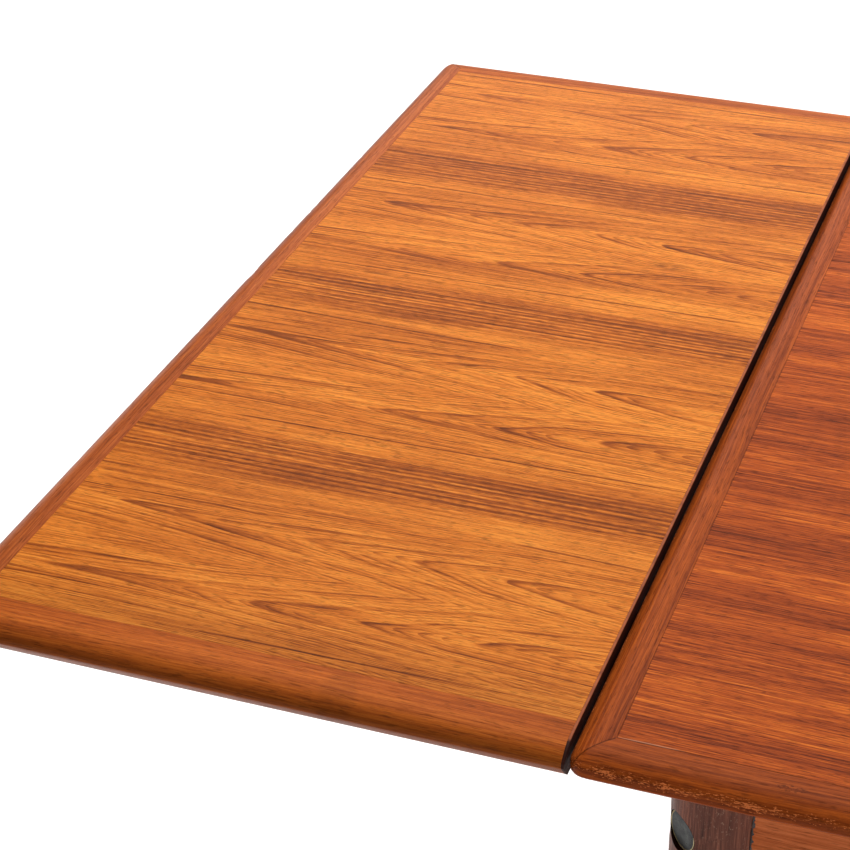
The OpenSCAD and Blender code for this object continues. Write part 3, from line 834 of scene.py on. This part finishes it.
def leg_wood():
    """Leg: dark brown with a violet cast, fine vertical grain, pale dust in the pores and painted
    shade in the bolt bores.
    """
    g = Graph("look_leg", Specular_IOR_Level=0.15)
    x, y, z = g.x, g.y, g.z
    slow = g.noise(x / 12, y / 12, z / 260) - 0.5
    lines = g.noise(x / 2.4, y / 2.4, z / 110, detail=2.0, roughness=0.6) - 0.5
    fibre = g.noise(x / 0.8, y / 0.8, z / 22, detail=2.0) - 0.5
    colour = g.ramp(
        g.clamp(0.5 + slow * 0.8 + lines * 0.55 + fibre * 1.0),
        (0.0, rgb(166, 102, 76)),
        (0.5, rgb(106, 60, 45)),
        (1.0, rgb(46, 22, 15)),
    )
    # Painted shade: the wall of each bolt's bore is darkened by 85 %.
    out_x, out_y = abs(x) - LEG_X, abs(y) - LEG_Y
    across, rise = (out_x - out_y) / math.sqrt(2), z - BOLT_Z
    bore_shade = 1 - g.step(g.sqrt(across * across + rise * rise), BOLT_BORE_R + 0.1, BOLT_BORE_R + 0.4)
    bore_shade = bore_shade * g.step(out_x + out_y, 26.0, 30.0)
    dust = g.step(g.noise(x / 1.2, y / 1.2, z / 2.0, detail=3.0, roughness=0.7), 0.56, 0.70)
    patch = g.step(g.noise(x / 14, y / 14, z / 30, 3.0), 0.40, 0.62)
    colour = g.mix(dust * (0.12 + patch * 0.5), colour, rgb(176, 138, 116))
    colour = g.scale(colour, 1 - bore_shade * 0.85)
    return g.finish(colour, 0.5 + lines * 0.15 + dust * 0.2, fibre * 0.04 - dust * 0.03)


def dress_frame():
    """Legs, aprons, rail, blocks, buttons and glides."""
    legs = [f"leg_{y}_{x}" for y in ("front", "back") for x in ("left", "right")]
    dress(legs, leg_wood(), 0.5)
    light, middle, dark = rgb(216, 122, 72), rgb(178, 90, 46), rgb(112, 52, 28)
    along_x = solid_teak("look_apron_long", "x", light, middle, dark, 15.0, gloss=0.5)
    along_y = solid_teak("look_apron_short", "y", light, middle, dark, 19.0, gloss=0.5)
    dress(("apron_front", "apron_back"), along_x, 0.8)
    dress(("apron_left", "apron_right"), along_y, 0.8)
    beech = beech_wood()
    dress(("corner_blocks", "top_buttons"), beech, 0.8)
    dress(("cross_rail",), beech, 0.8)
    dress(("foot_glides",), nylon(), 0.5)


def dress_boards():
    """Cores, veneers and the strips at the hinges. The lippings are remade below."""
    core = core_board()
    top = top_veneer("look_top")
    dress(("top_core", "left_leaf_core", "right_leaf_core"), core)
    dress(("top_face_veneer", "top_backing_veneer"), top)
    for side, seed in (("left", 2.0), ("right", 6.0)):
        leaf = leaf_veneer(f"look_{side}_leaf", seed)
        dress((f"{side}_leaf_face_veneer", f"{side}_leaf_backing_veneer"), leaf)
        dress((f"{side}_leaf_edge_strip",), strip_wood(f"look_{side}_strip", seed), 0.25)


def dress_metal():
    """Bolts, screws, hinges and stays."""
    steel = metal("look_steel", rgb(176, 176, 172), rgb(98, 96, 92), 0.38)
    brass = metal("look_brass", rgb(206, 170, 104), rgb(120, 88, 46), 0.34)
    rim = metal("look_rim", rgb(196, 176, 128), rgb(58, 46, 28), 0.30)
    dress(("leg_bolts",), patinated_bolt(), 0.5)
    dress(("leg_bolt_rims",), rim, 0.25)
    dress(("leg_bolt_washers", "leg_bolt_nuts"), steel, 0.25)
    dress(("top_button_screws", "hinge_pins"), steel)
    dress(("apron_stay_brackets", "apron_stay_rivets"), steel, 0.3)
    dress(("apron_stay_screws",), steel)
    dress(("top_hinge_plates",), brass, 0.25)
    dress(("top_hinge_screws",), brass)
    for side in ("left", "right"):
        dress((f"{side}_leaf_hinge_plates",), brass, 0.25)
        dress((f"{side}_leaf_screws",), brass)
        bars = [f"{side}_leaf_stay_brackets", f"{side}_stay_arms", f"{side}_stay_links"]
        dress(bars, steel, 0.3)
        dress((f"{side}_leaf_rivets", f"{side}_stay_rivets"), steel, 0.3)


# ---------- camera, floor and light ----------


def make_camera():
    """Camera fitted to the straight edges of the table in the reference view."""
    camera = bpy.data.objects.new("camera", bpy.data.cameras.new("camera"))
    camera.data.lens = 95.776
    camera.data.sensor_width = 36
    camera.location = (-0.424566, -1.265563, 1.422608)
    camera.rotation_euler = (math.radians(59.452), 0, math.radians(19.55))
    bpy.context.scene.collection.objects.link(camera)
    bpy.context.scene.camera = camera


def make_floor():
    """Pale matt paper floor, large enough to reach the horizon in every view."""
    g = Graph("look_floor", roughness=0.7)
    cloud = g.noise(g.x / 900, g.y / 900, detail=2.0) - 0.5
    colour = g.ramp(g.clamp(0.5 + cloud), (0.0, rgb(252, 252, 252)), (1.0, rgb(246, 246, 245)))
    material = g.finish(colour, 0.7, cloud)
    g.shader.inputs["Specular IOR Level"].default_value = 0.0
    g.shader.inputs["Emission Color"].default_value = (1.0, 1.0, 1.0, 1.0)
    g.shader.inputs["Emission Strength"].default_value = FLOOR_GLOW
    bm = bmesh.new()
    bmesh.ops.create_grid(bm, x_segments=8, y_segments=8, size=FLOOR_HALF)
    floor = mesh_object("floor", bm, 30)
    floor.data.materials.append(material)


def add_light(name, place, aim, size, power):
    """Rectangular area light at a place, turned to its aim."""
    data = bpy.data.lights.new(name, "AREA")
    data.shape = "RECTANGLE"
    data.size, data.size_y = size
    data.energy = power
    light = bpy.data.objects.new(name, data)
    light.location = place
    direction = [a - b for a, b in zip(aim, place)]
    flat = math.hypot(direction[0], direction[1])
    light.rotation_euler = (
        math.atan2(flat, -direction[2]),
        0,
        math.atan2(direction[1], direction[0]) - math.pi / 2,
    )
    light.visible_camera = False
    bpy.context.scene.collection.objects.link(light)


def make_world():
    """Dim white surroundings that look white themselves, so that no horizon shows."""
    world = bpy.data.worlds.new("studio")
    world.use_nodes = True
    tree = world.node_tree
    glow = tree.nodes["Background"]
    glow.inputs["Color"].default_value = (1.0, 1.0, 1.0, 1.0)
    glow.inputs["Strength"].default_value = WORLD_GLOW
    wall = tree.nodes.new("ShaderNodeBackground")
    wall.inputs["Color"].default_value = (1.0, 1.0, 1.0, 1.0)
    path = tree.nodes.new("ShaderNodeLightPath")
    mix = tree.nodes.new("ShaderNodeMixShader")
    tree.links.new(path.outputs["Is Camera Ray"], mix.inputs["Fac"])
    tree.links.new(glow.outputs[0], mix.inputs[1])
    tree.links.new(wall.outputs[0], mix.inputs[2])
    tree.links.new(mix.outputs[0], tree.nodes["World Output"].inputs["Surface"])
    bpy.context.scene.world = world


def make_lights():
    """Soft light from nearly overhead, a softbox above the leaf and a far white wall's sheen."""
    sun = bpy.data.objects.new("sky", bpy.data.lights.new("sky", "SUN"))
    sun.data.energy = SUN_POWER
    sun.data.angle = math.radians(SUN_SPREAD)
    sun.rotation_euler = (math.radians(-13), 0, math.radians(15))
    bpy.context.scene.collection.objects.link(sun)
    add_light("softbox", (-0.8, 0.75, 2.0), (-0.8, 0.35, 0.7), (1.8, 1.2), 17)
    add_light("backdrop", (-0.6, 3.6, 1.9), (-0.6, 0.4, 0.7), (5.0, 1.0), 34)


# The materials' colours are meant as they are, without a film-like tone curve
bpy.context.scene.view_settings.view_transform = "Standard"
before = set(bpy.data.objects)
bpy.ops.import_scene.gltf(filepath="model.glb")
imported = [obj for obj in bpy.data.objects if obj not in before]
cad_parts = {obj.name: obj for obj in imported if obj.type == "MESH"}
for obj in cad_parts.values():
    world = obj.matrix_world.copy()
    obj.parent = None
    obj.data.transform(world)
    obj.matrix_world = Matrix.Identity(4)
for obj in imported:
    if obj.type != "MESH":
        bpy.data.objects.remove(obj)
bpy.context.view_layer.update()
make_camera()
make_floor()
make_world()
make_lights()
dress_boards()
dress_frame()
dress_metal()
make_top_lippings()
make_leaf_lippings("left", -1)
make_leaf_lippings("right", 1)
make_dark_beads()
